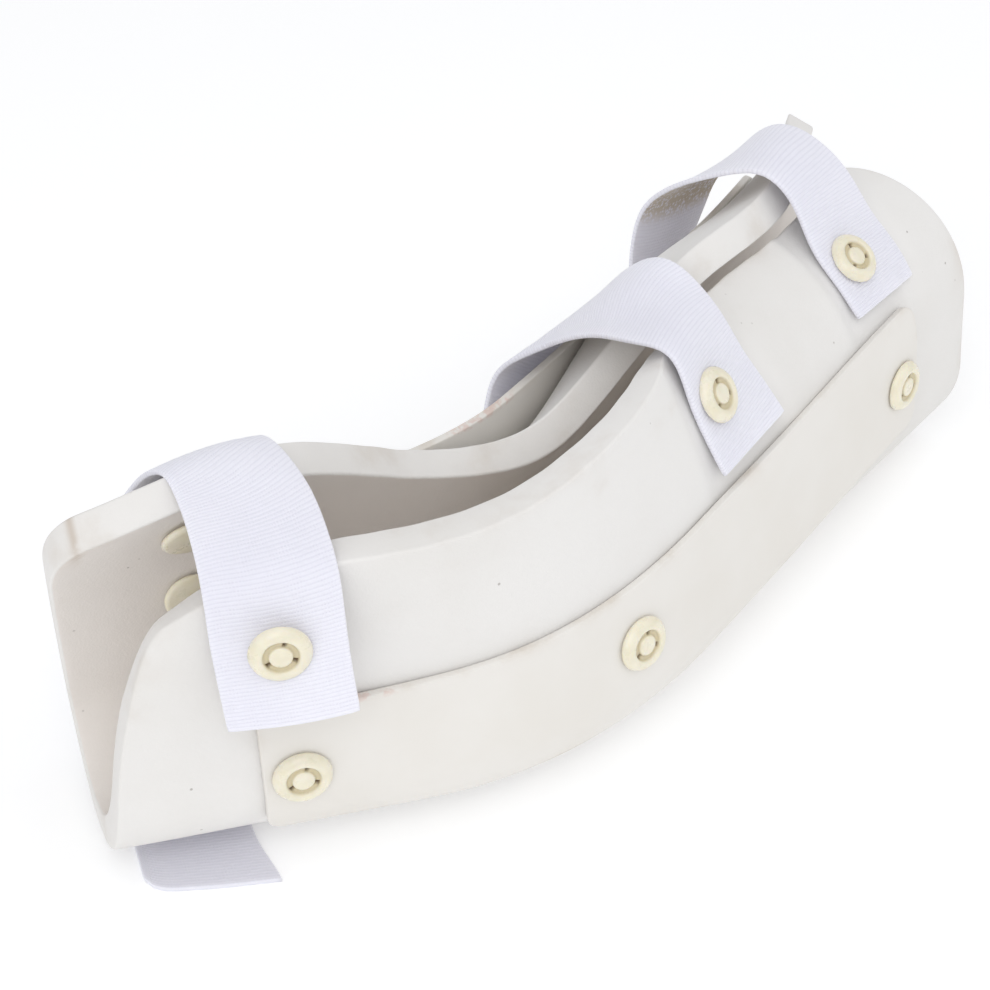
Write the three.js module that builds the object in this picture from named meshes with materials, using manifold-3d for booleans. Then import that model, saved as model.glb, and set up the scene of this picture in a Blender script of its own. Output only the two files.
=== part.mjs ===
// A wrist and forearm splint: a foam gutter bent in plan, with riveted side bars and straps.
// Millimetres, +Z up, the open side of the gutter up, the hand end at -X.
import * as THREE from 'three';
import { mergeVertices } from 'three/addons/utils/BufferGeometryUtils.js';
import Module from 'manifold-3d';

const wasm = await Module();
wasm.setup();

// Foam gutter
const FOAM = 9;              // thickness of the foam sheet
const LENGTH = 292.5;        // length along the bottom
const HAND_RUN = 84.6;       // straight run at the hand end
const BEND_RADIUS = 112.6;   // wrist bend, along the bottom
const BEND_ANGLE = 33;       // wrist bend, degrees
const BOTTOM_RADIUS = 23;    // middle of the sheet, where the floor turns into a wall
const NEAR_FLAT = 24;        // straight part of the near wall above the turn
const SHORTEST_CURL = 5;     // a wall takes at least this much sheet to curl

// The sheet's sections at even steps from the hand end to the forearm end.
// floor: half width of the flat bottom. rise: the bottom's height over its lowest part.
// lean: degrees inward. curl: extra degrees up to the edge.
// near, far: length of the sheet from the bottom middle to the edge of each wall.
// farFlat: straight part of the far wall above the turn. farRun: length over which it then curls.
const COLUMNS = [
  'floor', 'rise', 'nearLean', 'nearCurl', 'near', 'farLean', 'farFlat', 'farRun', 'farCurl', 'far',
];
const SECTIONS = [
  [0.0, 3, 11.7, 37.2, 70.0, 1.7, 10, 57, 39, 101],
  [2.5, 0, 4.7, 1.0, 103.0, 2.1, 10, 67, 32, 117],
  [6.2, 0, 9.7, -7.4, 108.0, 1.7, 10, 40, 20, 93],
  [6.1, 0, 12.1, 11.0, 114.0, 3.8, 12, 33, 38, 90],
  [6.1, 0, 8.6, 62.9, 116.5, 4.0, 46, 12, 44, 121],
  [6.2, 0, 6.5, 72.3, 117.5, 4.0, 46, 12, 42, 120],
  [7.5, 0, 6.9, 84.0, 127.5, -1.0, 42, 14, 8, 112],
];

// Rounded corners of the sheet: run along the length, rise across it
const CORNERS = {
  near: { handRun: 22.5, handRise: 78, armRun: 22.6, armRise: 57 },
  far: { handRun: 9, handRise: 21, armRun: 8, armRise: 12 },
};

// Side bars of stiff plastic
const BAR = 2.2;             // thickness
const BAR_WIDTH = 38;
const BAR_CORNER = 5;
const NEAR_BAR = { from: 38.7, to: 259.3, lowFrom: 26.6, lowTo: 44.3 };
const FAR_BAR = { from: 22, to: 275, lowFrom: 41, lowTo: 58.9 };

// Straps. low: where the near end starts on the sheet, cut: the slant of that end.
// reach: length of the strap. rivet: up the strap from its near end, side: off its middle line.
// At even stations from the near end, line: the strap's middle along the gutter,
// lift: how far it stands off what it crosses, twist: the rise of its forearm edge over that.
const STRAP = 1.4;           // thickness
const STRAP_WIDTH = 30;
const STATION = 20;
const STRAPS = [
  {
    name: 'hand', low: 62.5, cut: 0.16, reach: 232, rivet: 21.7, side: -0.3, under: true,
    line: [45.9, 45.8, 46.4, 45.4, 38.4, 32.4, 27, 24, 22.6, 22.4],
    lift: [0, 0, 3, 2.8, 1.6, 1.4, 0.4, 0],
    twist: [0, 0, -2, 2, 0],
  },
  {
    name: 'wrist', low: 80.5, cut: 0, reach: 128, rivet: 19, side: -4.6,
    line: [178.4, 175.5, 174.6, 174.6, 171, 162.5, 152],
    lift: [0, 0, 3.6, 6, 3.6, 2.2, 1],
    twist: [0, 0, 0.7, -1.4, -2.4, -1, 0],
  },
  {
    name: 'forearm', low: 86.5, cut: 0, reach: 122, rivet: 14.5, side: -4.2,
    line: [251.6, 251.4, 252, 248.6, 246.4, 242.4, 237.4],
    lift: [0, 0.1, 5.8, 8.6, 9.4, 9, 1],
    twist: [0, 0, 0.3, -2.4, -4.4, -1, 0],
  },
];
const TAIL_REACH = 29.5;     // free end on the surface, out from the middle of the gutter
const TAIL_SKEW = 0.26;      // the free end is cut at a slight angle
const TAIL_FROM = -12;       // where that strap comes down to the surface

// Plastic rivets
const HEAD = 15;             // diameter of the domed washer
const DOME = 2.6;            // height of the washer
const STEM = 5.4;            // diameter of the stem
const INNER_HEAD = 1.5;      // thickness of the flat head inside
const SEAT = 1.0;            // clearance of the inner head over the hollow side of the foam
// The washer's section. lip, crown, well: in from its rim. floor, pin: share of its height.
const WASHER = { lip: 0.5, crown: 2.2, well: 3.3, floor: 0.4, pin: 0.87, bevel: 0.3, innerBevel: 0.6 };
const BAR_RIVETS = [
  { name: 'hand', along: 48.3, up: 17.5 },
  { name: 'wrist', along: 127.8, up: 21 },
  { name: 'forearm', along: 250.6, up: 17.5 },
];
const FAR_RIVETS = [
  { name: 'hand', along: 34, up: 23.6 },
  { name: 'wrist', along: 114, up: 10.5 },
  { name: 'forearm', along: 202, up: 11.8 },
];
const FAR_TAB = { along: 34, across: 96.4 };

const GAP = 0.35;            // clearance between touching pieces
const RISE = STRAP + GAP;    // the gutter lies on the strap's free end
const BAR_FACE = FOAM / 2 + GAP + 0.05;
const FAR_STAND = BAR + DOME + 2 * GAP;

// Steps of the faceted surfaces
const FACETS = 12;           // sides of a rivet
const RIM_STEPS = 8;         // places round a rivet where its seat is measured
const RIM_SHARES = [0, 0.5, 1];
const SHEET = { width: 220, edge: 22, edgeSteps: 4, middleSteps: 19, rows: 35 };
const BAR_STEPS = { corner: 3, along: 22, near: 7, far: 1, outline: 6 };
const STRAP_STEP = 5;        // spacing of the rows of a strap
const STRAP_COLUMNS = 4;
const SHEET_STEP = 3;        // spacing of the points that a strap is drawn over
const TAIL_BEYOND = 70;      // the outline of the long strap runs on past its free end
const BEND_REACH = 7;        // how far a strap takes to turn over an edge
const HALVINGS = 40;         // to find where a line of the sheet meets a rounded corner
const TINY = 1e-6;
const MERGE = 1e-4;
const RAD = Math.PI / 180;

const { clamp, lerp } = THREE.MathUtils;

// Turn of the hand run so that the two ends of the gutter lie along X
const BEND_LENGTH = BEND_RADIUS * BEND_ANGLE * RAD;
const ARM_RUN = LENGTH - HAND_RUN - BEND_LENGTH;
const CHORD = new THREE.Vector2(
  HAND_RUN + BEND_RADIUS * Math.sin(BEND_ANGLE * RAD) + ARM_RUN * Math.cos(BEND_ANGLE * RAD),
  BEND_RADIUS * (1 - Math.cos(BEND_ANGLE * RAD)) + ARM_RUN * Math.sin(BEND_ANGLE * RAD),
);
const START = -CHORD.angle();

// A point of the bottom line in plan, with its heading
function bottomLine(s) {
  const run = Math.min(s, HAND_RUN);
  const end = START + clamp(s - HAND_RUN, 0, BEND_LENGTH) / BEND_RADIUS;
  const arm = Math.max(s - HAND_RUN - BEND_LENGTH, 0);
  const turnX = BEND_RADIUS * (Math.sin(end) - Math.sin(START));
  const turnY = BEND_RADIUS * (Math.cos(START) - Math.cos(end));
  const x = run * Math.cos(START) + turnX + arm * Math.cos(end);
  const y = run * Math.sin(START) + turnY + arm * Math.sin(end);
  return { x: x - CHORD.length() / 2, y, heading: end };
}

// A smooth curve through values at even steps, u in steps from the first one
function curve(values, u) {
  const last = values.length - 1;
  const i = clamp(Math.floor(u), 0, last - 1);
  const w = clamp(u, 0, last) - i;
  const b = values[i];
  const c = values[i + 1];
  const a = values[i - 1] ?? 2 * b - c;
  const d = values[i + 2] ?? 2 * c - b;
  return b + 0.5 * w * (c - a + w * (2 * a - 5 * b + 4 * c - d + w * (3 * (b - c) + d - a)));
}

// One column of the section table at a distance s
const TABLE = Object.fromEntries(COLUMNS.map((name, i) => [name, SECTIONS.map((row) => row[i])]));
const column = (name, s) => curve(TABLE[name], (s / LENGTH) * (SECTIONS.length - 1));

// Middle of the sheet in its section: out from the bottom middle, up, and the slope there.
// A side bar is stiff, so it keeps straight where the foam curls.
function profile(s, across, straight) {
  const near = across >= 0;
  const a = Math.abs(across);
  const floor = column('floor', s);
  const top = Math.PI / 2 + column(near ? 'nearLean' : 'farLean', s) * RAD;
  const bendEnd = floor + BOTTOM_RADIUS * top;
  const flat = near ? NEAR_FLAT : column('farFlat', s);
  const run = near ? column('near', s) - bendEnd - flat : column('farRun', s);
  const curl = straight ? 0 : column(near ? 'nearCurl' : 'farCurl', s) * RAD;
  const bend = curl / Math.max(run, SHORTEST_CURL);
  const turn = clamp((a - floor) / BOTTOM_RADIUS, 0, top);
  const climb = clamp(a - bendEnd, 0, flat);
  const curled = clamp(a - bendEnd - flat, 0, run);
  const flap = Math.max(a - bendEnd - flat - run, 0);
  const last = top + bend * curled;
  let out = Math.min(a, floor) + BOTTOM_RADIUS * Math.sin(turn) + climb * Math.cos(top);
  let up = BOTTOM_RADIUS * (1 - Math.cos(turn)) + climb * Math.sin(top);
  if (Math.abs(bend * curled) > TINY) {
    out += (Math.sin(last) - Math.sin(top)) / bend;
    up -= (Math.cos(last) - Math.cos(top)) / bend;
  } else {
    out += curled * Math.cos(top);
    up += curled * Math.sin(top);
  }
  out += flap * Math.cos(last);
  up += flap * Math.sin(last) + column('rise', s);
  return { out: near ? out : -out, up, slope: turn + bend * curled, side: near ? 1 : -1 };
}

// A point in a section, off mm outward from the middle of the sheet
function inSection(s, across, off, straight = false) {
  const p = profile(s, across, straight);
  const out = p.out + p.side * off * Math.sin(p.slope);
  const up = p.up - off * Math.cos(p.slope) + FOAM / 2 + RISE;
  return new THREE.Vector2(out, up);
}

function place(s, point) {
  const c = bottomLine(s);
  const x = c.x + point.x * Math.sin(c.heading);
  const y = c.y - point.x * Math.cos(c.heading);
  return new THREE.Vector3(x, y, point.y);
}

const onSheet = (s, across, off, straight) => place(s, inSection(s, across, off, straight));

// Edge of a wall at a distance s, with its rounded corners
function wallEdge(s, wall) {
  const c = CORNERS[wall];
  const hand = clamp((c.handRun - s) / c.handRun, 0, 1);
  const arm = clamp((s - LENGTH + c.armRun) / c.armRun, 0, 1);
  const cut = (rise, t) => rise * (1 - Math.sqrt(Math.max(1 - t * t, 0)));
  return column(wall, s) - cut(c.handRise, hand) - cut(c.armRise, arm);
}

const even = (steps) => Array.from({ length: steps + 1 }, (_, i) => i / steps);

// Closed thick sheet between two surfaces, each a function of u and v, at the listed steps
function slab(us, vs, inner, outer) {
  const points = [];
  const faces = [];
  const rows = us.length;
  const cols = vs.length;
  for (const surface of [inner, outer]) {
    for (const u of us) {
      for (const v of vs) points.push(...surface(u, v).toArray());
    }
  }
  const id = (side, i, j) => side * rows * cols + i * cols + j;
  const quad = (a, b, c, d) => faces.push(a, b, c, a, c, d);
  const [endRow, endCol] = [rows - 1, cols - 1];
  for (let i = 0; i < endRow; i += 1) {
    for (let j = 0; j < endCol; j += 1) {
      quad(id(1, i, j), id(1, i + 1, j), id(1, i + 1, j + 1), id(1, i, j + 1));
      quad(id(0, i, j), id(0, i, j + 1), id(0, i + 1, j + 1), id(0, i + 1, j));
    }
    quad(id(0, i, 0), id(0, i + 1, 0), id(1, i + 1, 0), id(1, i, 0));
    quad(id(0, i, endCol), id(1, i, endCol), id(1, i + 1, endCol), id(0, i + 1, endCol));
  }
  for (let j = 0; j < endCol; j += 1) {
    quad(id(0, 0, j), id(1, 0, j), id(1, 0, j + 1), id(0, 0, j + 1));
    quad(id(0, endRow, j), id(0, endRow, j + 1), id(1, endRow, j + 1), id(1, endRow, j));
  }
  const geometry = new THREE.BufferGeometry();
  geometry.setAttribute('position', new THREE.Float32BufferAttribute(points, 3));
  geometry.setIndex(faces);
  return geometry;
}

// Steps from 0 to 1 that crowd toward both ends, where the corners are round
function endSteps(length, corner, cornerSteps, middleSteps) {
  const steps = [];
  for (let i = 0; i < cornerSteps; i += 1) {
    steps.push((corner / length) * (1 - Math.cos((i / cornerSteps) * Math.PI / 2)));
  }
  for (let i = 0; i <= middleSteps; i += 1) {
    steps.push((corner + (length - 2 * corner) * (i / middleSteps)) / length);
  }
  for (let i = cornerSteps - 1; i >= 0; i -= 1) steps.push(1 - steps[i]);
  return steps;
}

// Foam gutter. A line along the sheet starts and ends where it meets the rounded corners.
const SHELL_ROWS = even(SHEET.rows);
const SHELL_COLUMNS = endSteps(SHEET.width, SHEET.edge, SHEET.edgeSteps, SHEET.middleSteps);
const acrossAt = (s, v) => lerp(-column('far', s), column('near', s), v);
function inside(s, v) {
  const across = acrossAt(s, v);
  return across <= wallEdge(s, 'near') + TINY && -across <= wallEdge(s, 'far') + TINY;
}
function lineEnd(v, from, to) {
  let [out, into] = [from, to];
  if (inside(out, v)) return out;
  for (let i = 0; i < HALVINGS; i += 1) {
    const middle = (out + into) / 2;
    if (inside(middle, v)) into = middle;
    else out = middle;
  }
  return into;
}
const lineEnds = new Map(SHELL_COLUMNS.map((v) => [v, {
  hand: lineEnd(v, 0, Math.max(CORNERS.near.handRun, CORNERS.far.handRun)),
  arm: lineEnd(v, LENGTH, LENGTH - Math.max(CORNERS.near.armRun, CORNERS.far.armRun)),
}]));
const shellAt = (off) => (u, v) => {
  const ends = lineEnds.get(v);
  const s = lerp(ends.hand, ends.arm, u);
  return onSheet(s, acrossAt(s, v), off);
};

// Side bars
const barLow = (bar, s) => lerp(bar.lowFrom, bar.lowTo, (s - bar.from) / (bar.to - bar.from));
function barCut(bar, s) {
  const t = clamp((BAR_CORNER - Math.min(s - bar.from, bar.to - s)) / BAR_CORNER, 0, 1);
  return BAR_CORNER * (1 - Math.sqrt(1 - t * t));
}
const barAt = (bar, side, straight, off) => (u, v) => {
  const s = lerp(bar.from, bar.to, u);
  const cut = barCut(bar, s);
  const up = lerp(barLow(bar, s) + cut, barLow(bar, s) + BAR_WIDTH - cut, side > 0 ? v : 1 - v);
  return onSheet(s, side * up, BAR_FACE + off, straight);
};
function barSlab(bar, side, straight, columns) {
  const rows = endSteps(bar.to - bar.from, BAR_CORNER, BAR_STEPS.corner, BAR_STEPS.along);
  return slab(rows, even(columns), barAt(bar, side, straight, 0), barAt(bar, side, straight, BAR));
}

// Outline of everything in a section that a strap is drawn over, going round by the convex hull
function hull(points) {
  const sorted = [...points].sort((a, b) => a.x - b.x || a.y - b.y);
  const chain = (list) => {
    const kept = [];
    for (const p of list) {
      while (kept.length > 1) {
        const [a, b] = kept.slice(-2);
        if ((b.x - a.x) * (p.y - a.y) - (b.y - a.y) * (p.x - a.x) > 0) break;
        kept.pop();
      }
      kept.push(p);
    }
    return kept.slice(0, -1);
  };
  return [...chain(sorted), ...chain(sorted.reverse())];
}

function wrapped(strap, s) {
  const points = [];
  const near = wallEdge(s, 'near');
  const far = wallEdge(s, 'far');
  for (let a = -far; a < near; a += SHEET_STEP) points.push(inSection(s, a, FOAM / 2));
  for (const off of [-FOAM / 2, FOAM / 2]) {
    points.push(inSection(s, near, off));
    points.push(inSection(s, -far, off));
  }
  for (const share of even(BAR_STEPS.outline)) {
    const up = share * BAR_WIDTH;
    if (s > NEAR_BAR.from && s < NEAR_BAR.to) {
      points.push(inSection(s, barLow(NEAR_BAR, s) + up, BAR_FACE + BAR));
    }
    points.push(inSection(s, -barLow(FAR_BAR, s) - up, BAR_FACE + BAR + 2 * GAP, true));
  }
  if (strap.under) {
    for (const out of [TAIL_FROM, TAIL_BEYOND]) points.push(new THREE.Vector2(out, RISE));
    for (const side of [-1, 1]) {
      const tab = FAR_TAB.across + side * HEAD / 2;
      points.push(inSection(s, -tab, FOAM / 2 + DOME + 2 * GAP));
      const pin = barLow(FAR_BAR, s) + FAR_RIVETS[0].up + side * HEAD / 2;
      points.push(inSection(s, -pin, FOAM / 2 + FAR_STAND, true));
    }
  }
  return hull(points);
}

// Nearest place on the outline to a point: the edge there and the distance into it
function nearest(outline, point) {
  let found = { gap: Infinity };
  outline.forEach((a, i) => {
    const edge = outline[(i + 1) % outline.length].clone().sub(a);
    const t = clamp(point.clone().sub(a).dot(edge) / edge.lengthSq(), 0, 1);
    const gap = a.clone().addScaledVector(edge, t).distanceTo(point);
    if (gap < found.gap) found = { gap, i, into: t * edge.length() };
  });
  return found;
}

// Point at a distance along the outline, counted from the strap's near end
function along(outline, start, distance) {
  const n = outline.length;
  const first = nearest(outline, start);
  let left = distance + first.into;
  for (let i = first.i; ; i += 1) {
    const a = outline[i % n];
    const b = outline[(i + 1) % n];
    const size = a.distanceTo(b);
    if (left <= size || i > first.i + n) return a.clone().lerp(b, left / size);
    left -= size;
  }
}

// Length of the outline from the strap's near end round to a point at its foot
function lengthTo(outline, start, foot) {
  const n = outline.length;
  const first = nearest(outline, start);
  const last = nearest(outline, foot);
  let length = last.into - first.into;
  for (let i = first.i; i % n !== last.i; i += 1) {
    length += outline[i % n].distanceTo(outline[(i + 1) % n]);
  }
  return length;
}

const wrapCache = new Map();
function outlineAt(strap, s) {
  const key = `${strap.name} ${s.toFixed(3)}`;
  if (!wrapCache.has(key)) wrapCache.set(key, wrapped(strap, s));
  return wrapCache.get(key);
}

// A place across a strap, square to its middle line: along the gutter, and along the strap
const strapLine = (strap, d) => curve(strap.line, d / STATION);
function strapCross(strap, distance, width) {
  const slope = (strapLine(strap, distance + 1) - strapLine(strap, distance - 1)) / 2;
  const share = width / Math.hypot(1, slope);
  return { s: strapLine(strap, distance) + share, d: distance - slope * share };
}

function strapPoint(strap, distance, width, off) {
  const { s, d } = strapCross(strap, distance, width);
  const outline = outlineAt(strap, s);
  const start = inSection(s, strap.low, FOAM / 2);
  const middle = along(outline, start, d);
  const ahead = along(outline, start, d + BEND_REACH);
  const behind = along(outline, start, Math.max(d - BEND_REACH, 0));
  const dir = ahead.sub(behind).normalize();
  const outward = new THREE.Vector2(dir.y, -dir.x);
  const tilt = curve(strap.twist, d / STATION) * width / (STRAP_WIDTH / 2);
  const lift = Math.max(curve(strap.lift, d / STATION) + tilt, 0);
  middle.addScaledVector(outward, GAP + off + lift);
  return place(s, middle);
}

// A strap that runs under the gutter ends at a place on the surface
function reachAt(strap, width) {
  if (!strap.under) return strap.reach;
  const { s, d } = strapCross(strap, strap.reach, width);
  const foot = new THREE.Vector2(TAIL_REACH + TAIL_SKEW * width, RISE);
  return lengthTo(outlineAt(strap, s), inSection(s, strap.low, FOAM / 2), foot) + strap.reach - d;
}

const strapAt = (strap, off) => (u, v) => {
  const width = (v - 0.5) * STRAP_WIDTH;
  const start = strap.cut * (width + STRAP_WIDTH / 2);
  return strapPoint(strap, lerp(start, reachAt(strap, width), u), width, off);
};

// Solids through the boolean kernel
function solid(geometry) {
  const plain = geometry.clone();
  plain.deleteAttribute('normal');
  plain.deleteAttribute('uv');
  const merged = mergeVertices(plain, MERGE);
  return new wasm.Manifold(new wasm.Mesh({
    numProp: 3,
    vertProperties: new Float32Array(merged.attributes.position.array),
    triVerts: new Uint32Array(merged.index.array),
  }));
}

function drawn(manifold) {
  const mesh = manifold.getMesh();
  const geometry = new THREE.BufferGeometry();
  geometry.setAttribute('position', new THREE.BufferAttribute(mesh.vertProperties, 3));
  geometry.setIndex(new THREE.BufferAttribute(mesh.triVerts, 1));
  return geometry;
}

// A frame whose Z runs along a rivet
function rivetFrame(centre, axis) {
  const turn = new THREE.Quaternion().setFromUnitVectors(new THREE.Vector3(0, 0, 1), axis);
  return new THREE.Matrix4().compose(centre, turn, new THREE.Vector3(1, 1, 1));
}

// Domed washer with a sunk middle, a stem, and a flat head on the inside
function rivetShape(bottom, top) {
  const rim = HEAD / 2;
  const stem = STEM / 2;
  const outline = [
    [0, bottom - INNER_HEAD],
    [rim - WASHER.innerBevel, bottom - INNER_HEAD],
    [rim, bottom],
    [stem, bottom],
    [stem, top],
    [rim, top],
    [rim - WASHER.lip, top + DOME / 2],
    [rim - WASHER.crown, top + DOME],
    [rim - WASHER.well, top + WASHER.floor * DOME],
    [stem, top + WASHER.floor * DOME],
    [stem - WASHER.bevel, top + WASHER.pin * DOME],
    [0, top + WASHER.pin * DOME],
  ];
  const lathe = new THREE.LatheGeometry(outline.map(([r, y]) => new THREE.Vector2(r, y)), FACETS);
  return lathe.rotateX(Math.PI / 2);
}

function bore(bottom, top) {
  const hole = new THREE.CylinderGeometry(STEM / 2 + GAP, STEM / 2 + GAP, top - bottom, FACETS);
  return hole.rotateX(Math.PI / 2).translate(0, 0, (top + bottom) / 2);
}

const pieces = {
  shell: solid(slab(SHELL_ROWS, SHELL_COLUMNS, shellAt(-FOAM / 2), shellAt(FOAM / 2))),
  bar_outer: solid(barSlab(NEAR_BAR, 1, false, BAR_STEPS.near)),
  bar_inner: solid(barSlab(FAR_BAR, -1, true, BAR_STEPS.far)),
};
for (const strap of STRAPS) {
  const rows = even(Math.round(strap.reach / STRAP_STEP));
  pieces[`strap_${strap.name}`] = solid(slab(
    rows, even(STRAP_COLUMNS), strapAt(strap, STRAP), strapAt(strap, 0),
  ));
}

// A rivet through the foam and what it holds, seated clear of both faces
function setRivet(name, holds, centre, axis, innerFace, outerFace) {
  const height = (p) => p.sub(centre).dot(axis);
  let bottom = Infinity;
  let top = -Infinity;
  for (const share of RIM_SHARES) {
    for (let i = 0; i < RIM_STEPS; i += 1) {
      const angle = (i / RIM_STEPS) * 2 * Math.PI;
      const a = (HEAD / 2) * share * Math.cos(angle);
      const b = (HEAD / 2) * share * Math.sin(angle);
      bottom = Math.min(bottom, height(innerFace(a, b)));
      top = Math.max(top, height(outerFace(a, b)));
    }
  }
  bottom -= SEAT;
  top += GAP;
  const frame = rivetFrame(centre, axis);
  pieces[name] = solid(rivetShape(bottom, top).applyMatrix4(frame));
  const hole = solid(bore(bottom - FOAM / 2, top + FOAM / 2).applyMatrix4(frame));
  for (const held of holds) pieces[held] = pieces[held].subtract(hole);
}

function axisOf(face) {
  const du = face(1, 0).sub(face(-1, 0));
  const dv = face(0, 1).sub(face(0, -1));
  return du.cross(dv).normalize();
}

for (const rivet of BAR_RIVETS) {
  const across = barLow(NEAR_BAR, rivet.along) + rivet.up;
  const face = (off) => (a, b) => onSheet(rivet.along + a, across + b, off);
  setRivet(`rivet_bar_${rivet.name}`, ['shell', 'bar_outer'], face(0)(0, 0), axisOf(face(0)),
    face(-FOAM / 2), face(BAR_FACE + BAR));
}
for (const rivet of FAR_RIVETS) {
  const across = barLow(FAR_BAR, rivet.along) + rivet.up;
  const face = (off, straight) => (a, b) => onSheet(rivet.along + a, b - across, off, straight);
  setRivet(`rivet_far_${rivet.name}`, ['shell', 'bar_inner'], face(0)(0, 0), axisOf(face(0, true)),
    face(-FOAM / 2), face(BAR_FACE + BAR, true));
}
const tabFace = (off) => (a, b) => onSheet(FAR_TAB.along + a, b - FAR_TAB.across, off);
setRivet('rivet_far_tab', ['shell'], tabFace(0)(0, 0), axisOf(tabFace(0)),
  tabFace(-FOAM / 2), tabFace(FOAM / 2));

for (const strap of STRAPS) {
  const face = (off) => (a, b) => strapPoint(strap, strap.rivet + b, strap.side + a, off);
  const { s, d } = strapCross(strap, strap.rivet, strap.side);
  const wall = (off) => (a, b) => onSheet(s + a, strap.low + d + b, off);
  setRivet(`rivet_strap_${strap.name}`, ['shell', `strap_${strap.name}`], face(0)(0, 0),
    axisOf(wall(0)), wall(-FOAM / 2), face(STRAP));
}

const COLOURS = { shell: '#ece8e0', bar: '#e9e5d8', strap: '#e6e4f0', rivet: '#e2dcc0' };
const ROUGHNESS = { shell: 0.8, bar: 0.5, strap: 0.95, rivet: 0.35 };
const part = new THREE.Group();
for (const [name, piece] of Object.entries(pieces)) {
  const kind = name.split('_')[0];
  const material = new THREE.MeshStandardMaterial({ color: COLOURS[kind], roughness: ROUGHNESS[kind] });
  const mesh = new THREE.Mesh(drawn(piece), material);
  mesh.name = name;
  part.add(mesh);
}

// The origin is the middle of the whole in plan, on the surface it lies on
const middle = new THREE.Box3().setFromObject(part).getCenter(new THREE.Vector3());
for (const mesh of part.children) mesh.geometry.translate(-middle.x, -middle.y, 0);

export default part;
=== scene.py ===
# A wrist and forearm splint, dressed: foam gutter, side bars, hook-and-loop straps and rivets.
import math

import bmesh
import bpy
import numpy as np
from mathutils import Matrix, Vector


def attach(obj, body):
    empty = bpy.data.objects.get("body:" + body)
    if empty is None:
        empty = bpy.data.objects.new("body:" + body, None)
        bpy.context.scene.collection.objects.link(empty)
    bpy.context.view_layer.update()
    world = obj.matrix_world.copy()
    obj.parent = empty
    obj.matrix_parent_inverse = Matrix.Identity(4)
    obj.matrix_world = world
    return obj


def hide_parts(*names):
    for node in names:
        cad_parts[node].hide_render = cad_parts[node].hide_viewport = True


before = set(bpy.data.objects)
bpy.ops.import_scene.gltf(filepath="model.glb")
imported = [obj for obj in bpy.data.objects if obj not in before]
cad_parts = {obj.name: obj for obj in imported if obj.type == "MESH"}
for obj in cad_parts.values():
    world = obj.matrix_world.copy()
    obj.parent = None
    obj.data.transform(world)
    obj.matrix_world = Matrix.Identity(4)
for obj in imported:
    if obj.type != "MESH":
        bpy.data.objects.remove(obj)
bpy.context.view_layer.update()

# Sizes in mm, as in the part's source
FOAM = 9.0                   # thickness of the foam sheet
LENGTH = 292.5               # length along the bottom
HAND_RUN = 84.6              # straight run at the hand end
BEND_RADIUS = 112.6          # wrist bend, along the bottom
BEND_ANGLE = math.radians(33)
BOTTOM_RADIUS = 23.0         # where the floor turns into a wall
NEAR_FLAT = 24.0             # straight part of the near wall above the turn
SHORTEST_CURL = 5.0          # a wall takes at least this much sheet to curl
NAMES = (
    "floor", "rise", "nearLean", "nearCurl", "near",
    "farLean", "farFlat", "farRun", "farCurl", "far",
)
SECTIONS = np.array([
    (0.0, 3, 11.7, 37.2, 70.0, 1.7, 10, 57, 39, 101),
    (2.5, 0, 4.7, 1.0, 103.0, 2.1, 10, 67, 32, 117),
    (6.2, 0, 9.7, -7.4, 108.0, 1.7, 10, 40, 20, 93),
    (6.1, 0, 12.1, 11.0, 114.0, 3.8, 12, 33, 38, 90),
    (6.1, 0, 8.6, 62.9, 116.5, 4.0, 46, 12, 44, 121),
    (6.2, 0, 6.5, 72.3, 117.5, 4.0, 46, 12, 42, 120),
    (7.5, 0, 6.9, 84.0, 127.5, -1.0, 42, 14, 8, 112),
])
# Rounded corners of the sheet: run and rise at the hand end, then at the forearm end
CORNERS = {"near": (22.5, 78.0, 22.6, 57.0), "far": (9.0, 21.0, 8.0, 12.0)}
LONGEST_CORNER = 22.8        # every rounded corner is shorter than this
BAR = 2.2                    # thickness
BAR_WIDTH = 38.0
BAR_CORNER = 5.0
NEAR_BAR = (38.7, 259.3, 26.6, 44.3)   # from, to, and how high it starts at each end
FAR_BAR = (22.0, 275.0, 41.0, 58.9)
STRAP = 1.4                  # thickness
STRAP_WIDTH = 30.0
HALF_STRAP = STRAP_WIDTH / 2
STATION = 20.0               # step between the values of line, lift and twist
STRAPS = [
    dict(name="hand", low=62.5, cut=0.16, reach=232, rivet=21.7, side=-0.3, under=True,
         line=(45.9, 45.8, 46.4, 45.4, 38.4, 32.4, 27, 24, 22.6, 22.4),
         lift=(0, 0, 3, 2.8, 1.6, 1.4, 0.4, 0), twist=(0, 0, -2, 2, 0)),
    dict(name="wrist", low=80.5, cut=0.0, reach=128, rivet=19.0, side=-4.6, under=False,
         line=(178.4, 175.5, 174.6, 174.6, 171, 162.5, 152),
         lift=(0, 0, 3.6, 6, 3.6, 2.2, 1), twist=(0, 0, 0.7, -1.4, -2.4, -1, 0)),
    dict(name="forearm", low=86.5, cut=0.0, reach=122, rivet=14.5, side=-4.2, under=False,
         line=(251.6, 251.4, 252, 248.6, 246.4, 242.4, 237.4),
         lift=(0, 0.1, 5.8, 8.6, 9.4, 9, 1), twist=(0, 0, 0.3, -2.4, -4.4, -1, 0)),
]
TAIL_REACH = 29.5            # free end on the surface, out from the middle of the gutter
TAIL_SKEW = 0.26             # the free end is cut at a slight angle
TAIL_FROM = -12.0            # where that strap comes down to the surface
TAIL_BEYOND = 70.0           # a place on the surface past the free end
BEND_REACH = 7.0             # how far a strap takes to turn over an edge
HEAD = 15.0                  # diameter of the domed washer
DOME = 2.6                   # height of the washer
STEM = 5.4                   # diameter of the stem
INNER_HEAD = 1.5             # thickness of the flat head inside
GAP = 0.35                   # clearance between touching pieces
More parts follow.
